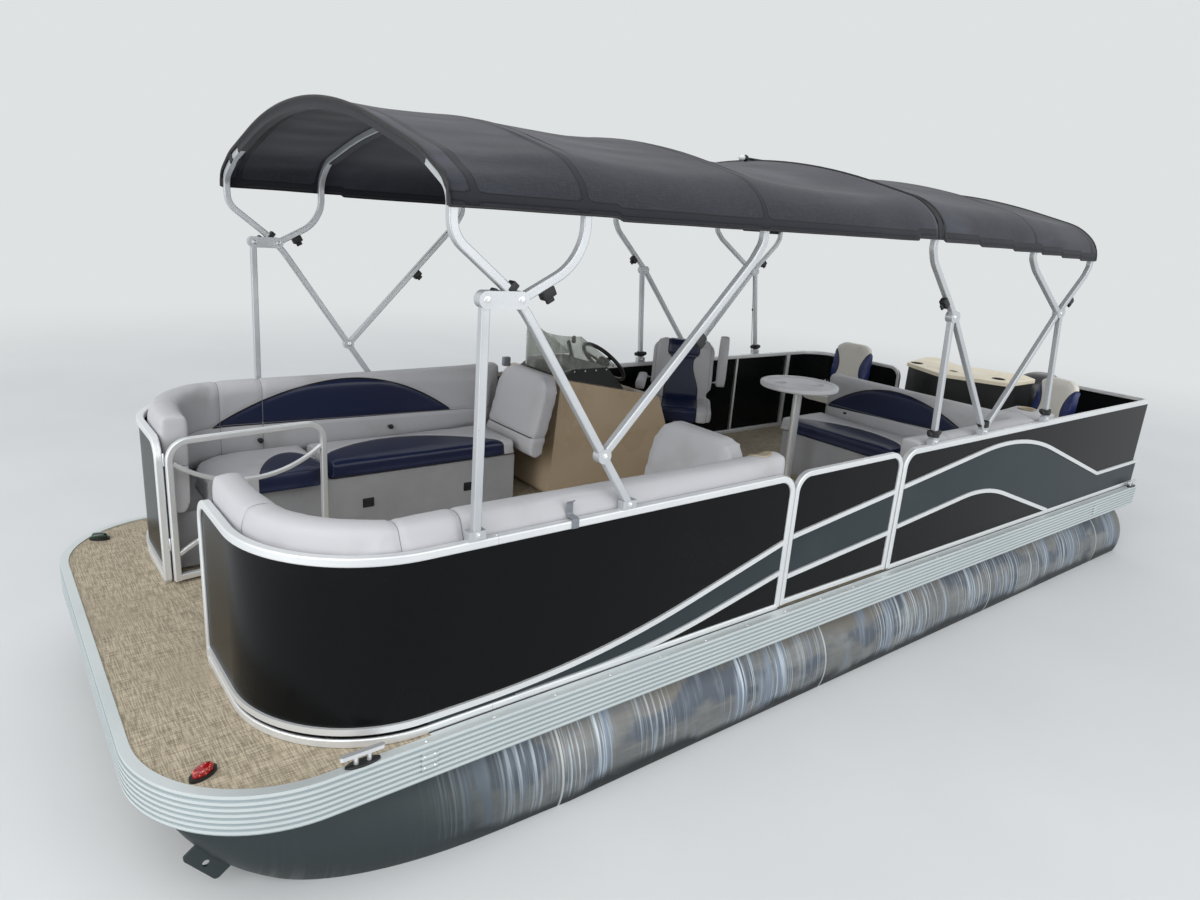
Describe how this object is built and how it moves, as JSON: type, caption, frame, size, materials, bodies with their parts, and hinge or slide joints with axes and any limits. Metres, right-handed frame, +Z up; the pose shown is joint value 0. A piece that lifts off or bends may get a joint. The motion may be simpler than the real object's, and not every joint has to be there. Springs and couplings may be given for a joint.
{
  "type": "pontoon boat with outboard motor and twin bimini tops",
  "caption": "Aluminium pontoon boat with fenced deck, lounge seats, helm console, fishing station, arched fabric tops and a tilting, steering outboard motor.",
  "frame": {"origin": "amidships of the deck on the centre line, at the waterline when the empty boat floats level", "axes": "+X towards the bow, +Y to port, +Z up"},
  "size_m": [8.075, 2.59, 3.1725],
  "materials": {
    "deck_vinyl": "woven matte",
    "bare_aluminium": "satin",
    "weathered_aluminium": "weathered satin",
    "dark_panel": "gloss",
    "slate_panel": "gloss",
    "grey_moulding": "matte",
    "upholstery": "satin",
    "cream_upholstery": "satin",
    "table_top": "gloss",
    "console_shell": "gloss",
    "black_plastic": "matte",
    "cream_plastic": "gloss",
    "smoked_glass": "smoked",
    "canopy_fabric": "woven",
    "chrome_fitting": "polished",
    "outboard_paint": "gloss",
    "steel_block": "rough",
    "propeller_metal": "satin"
  },
  "bodies": {
    "boat": {"accent_panels": "slate_panel", "accent_rails": "bare_aluminium", "aft_backrest": "upholstery", "aft_bimini_frame": "bare_aluminium", "aft_canopy": "canopy_fabric", "aft_return_cushion": "upholstery", "aft_seat_base": "grey_moulding", "chaise_backs": "upholstery", "corner_cushions": "upholstery", "crossmembers": "weathered_aluminium", "dash": "black_plastic", "deck": "deck_vinyl", "deck_cleats": "chrome_fitting", "deck_trim": "bare_aluminium", "fishing_station": "black_plastic", "fishing_station_top": "cream_plastic", "front_bimini_frame": "bare_aluminium", "front_canopy": "canopy_fabric", "helm_console": "console_shell", "motor_pod": "weathered_aluminium", "navigation_lights": "black_plastic", "outboard_clamp_bracket": "outboard_paint", "port_bow_backrest": "upholstery", "port_bow_seat_base": "grey_moulding", "port_fence": "bare_aluminium", "port_panels": "dark_panel", "port_pontoon": "weathered_aluminium", "seat_pedestals": "bare_aluminium", "starboard_bow_backrest": "upholstery", "starboard_bow_seat_base": "grey_moulding", "starboard_fence": "bare_aluminium", "starboard_panel": "dark_panel", "starboard_pontoon": "weathered_aluminium", "table_post": "bare_aluminium", "table_top": "table_top", "throttle": "black_plastic", "windshield": "smoked_glass"},
    "bow_gate": {"bow_gate": "bare_aluminium"},
    "side_gate": {"side_gate": "bare_aluminium", "side_gate_panel": "dark_panel", "side_gate_accent": "slate_panel"},
    "stern_gate": {"stern_gate": "bare_aluminium", "stern_gate_panel": "dark_panel"},
    "port_bow_seat_lid": {"port_bow_seat_cushion": "upholstery"},
    "starboard_bow_seat_lid": {"starboard_bow_seat_cushion": "upholstery"},
    "aft_bench_lid": {"aft_bench_cushion": "upholstery"},
    "livewell_lid": {"livewell_lid": "cream_plastic"},
    "helm_wheel": {"steering_wheel": "black_plastic"},
    "helm_chair": {"helm_chair": "upholstery"},
    "inboard_armrest": {"inboard_armrest": "upholstery"},
    "outboard_armrest": {"outboard_armrest": "upholstery"},
    "starboard_fishing_seat": {"starboard_fishing_seat": "cream_upholstery"},
    "starboard_fishing_back": {"starboard_fishing_seat_back": "cream_upholstery"},
    "port_fishing_seat": {"port_fishing_seat": "cream_upholstery"},
    "port_fishing_back": {"port_fishing_seat_back": "cream_upholstery"},
    "outboard_swivel": {"outboard_swivel_bracket": "outboard_paint"},
    "outboard_head": {"outboard_leg": "outboard_paint", "outboard_cowl": "outboard_paint", "powerhead": "steel_block"},
    "propeller": {"propeller": "propeller_metal"}
  },
  "joints": [
    {"name": "outboard_tilt", "type": "hinge", "parent": "boat", "child": "outboard_swivel", "pos_m": [-4.03, 0, 0.49], "axis": [0, 1, 0], "range_deg": [0, 62]},
    {"name": "outboard_steer", "type": "hinge", "parent": "outboard_swivel", "child": "outboard_head", "pos_m": [-4.105, 0, 0.32], "axis": [0, 0, 1], "range_deg": [-30, 30]},
    {"name": "propeller_spin", "type": "hinge", "parent": "outboard_head", "child": "propeller", "pos_m": [-4.536, 0, -0.335], "axis": [1, 0, 0], "continuous": true},
    {"name": "helm_wheel_turn", "type": "hinge", "parent": "boat", "child": "helm_wheel", "pos_m": [0.287, -0.85, 1.346], "axis": [-0.7193, 0, 0.6947], "range_deg": [-545, 545]},
    {"name": "bow_gate_swing", "type": "hinge", "parent": "boat", "child": "bow_gate", "pos_m": [3.078, -0.376, 0.9], "axis": [0, 0, 1], "range_deg": [-97, 0]},
    {"name": "side_gate_swing", "type": "hinge", "parent": "boat", "child": "side_gate", "pos_m": [0.771, 1.208, 0.9], "axis": [0, 0, 1], "range_deg": [0, 90]},
    {"name": "stern_gate_swing", "type": "hinge", "parent": "boat", "child": "stern_gate", "pos_m": [-2.541, -0.876, 0.9], "axis": [0, 0, 1], "range_deg": [0, 90]},
    {"name": "helm_chair_swivel", "type": "hinge", "parent": "boat", "child": "helm_chair", "pos_m": [-0.41, -0.8, 0.89], "axis": [0, 0, 1], "continuous": true},
    {"name": "inboard_armrest_fold", "type": "hinge", "parent": "helm_chair", "child": "inboard_armrest", "pos_m": [-0.75203, -0.73383, 1.15], "axis": [-0.7193, 0.6947, 0], "range_deg": [0, 90]},
    {"name": "outboard_armrest_fold", "type": "hinge", "parent": "helm_chair", "child": "outboard_armrest", "pos_m": [-0.33194, -1.13951, 1.15], "axis": [0.7193, -0.6947, 0], "range_deg": [0, 90]},
    {"name": "starboard_fishing_seat_swivel", "type": "hinge", "parent": "boat", "child": "starboard_fishing_seat", "pos_m": [-2.035, -0.65, 0.9], "axis": [0, 0, 1], "continuous": true},
    {"name": "starboard_fishing_back_fold", "type": "hinge", "parent": "starboard_fishing_seat", "child": "starboard_fishing_back", "pos_m": [-2.213, -0.65, 1.05], "axis": [0, 1, 0], "range_deg": [0, 78]},
    {"name": "port_fishing_seat_swivel", "type": "hinge", "parent": "boat", "child": "port_fishing_seat", "pos_m": [-2.31, 0.835, 0.9], "axis": [0, 0, 1], "continuous": true},
    {"name": "port_fishing_back_fold", "type": "hinge", "parent": "port_fishing_seat", "child": "port_fishing_back", "pos_m": [-2.47132, 0.91023, 1.05], "axis": [0.4226, 0.9063, 0], "range_deg": [0, 78]},
    {"name": "port_bow_seat_lift", "type": "hinge", "parent": "boat", "child": "port_bow_seat_lid", "pos_m": [1.69, 1.03, 0.96], "axis": [-1, 0, 0], "range_deg": [0, 75]},
    {"name": "starboard_bow_seat_lift", "type": "hinge", "parent": "boat", "child": "starboard_bow_seat_lid", "pos_m": [1.69, -1.03, 0.96], "axis": [1, 0, 0], "range_deg": [0, 75]},
    {"name": "aft_bench_lift", "type": "hinge", "parent": "boat", "child": "aft_bench_lid", "pos_m": [-1.49, 0.125, 0.96], "axis": [0, -1, 0], "range_deg": [0, 75]},
    {"name": "livewell_lid_lift", "type": "hinge", "parent": "boat", "child": "livewell_lid", "pos_m": [-2.915, 0.075, 1.286], "axis": [0, -1, 0], "range_deg": [0, 80]}
  ],
  "couplings": [
    {"joint": "helm_wheel_turn", "follows": "outboard_steer", "ratio": -18}
  ]
}
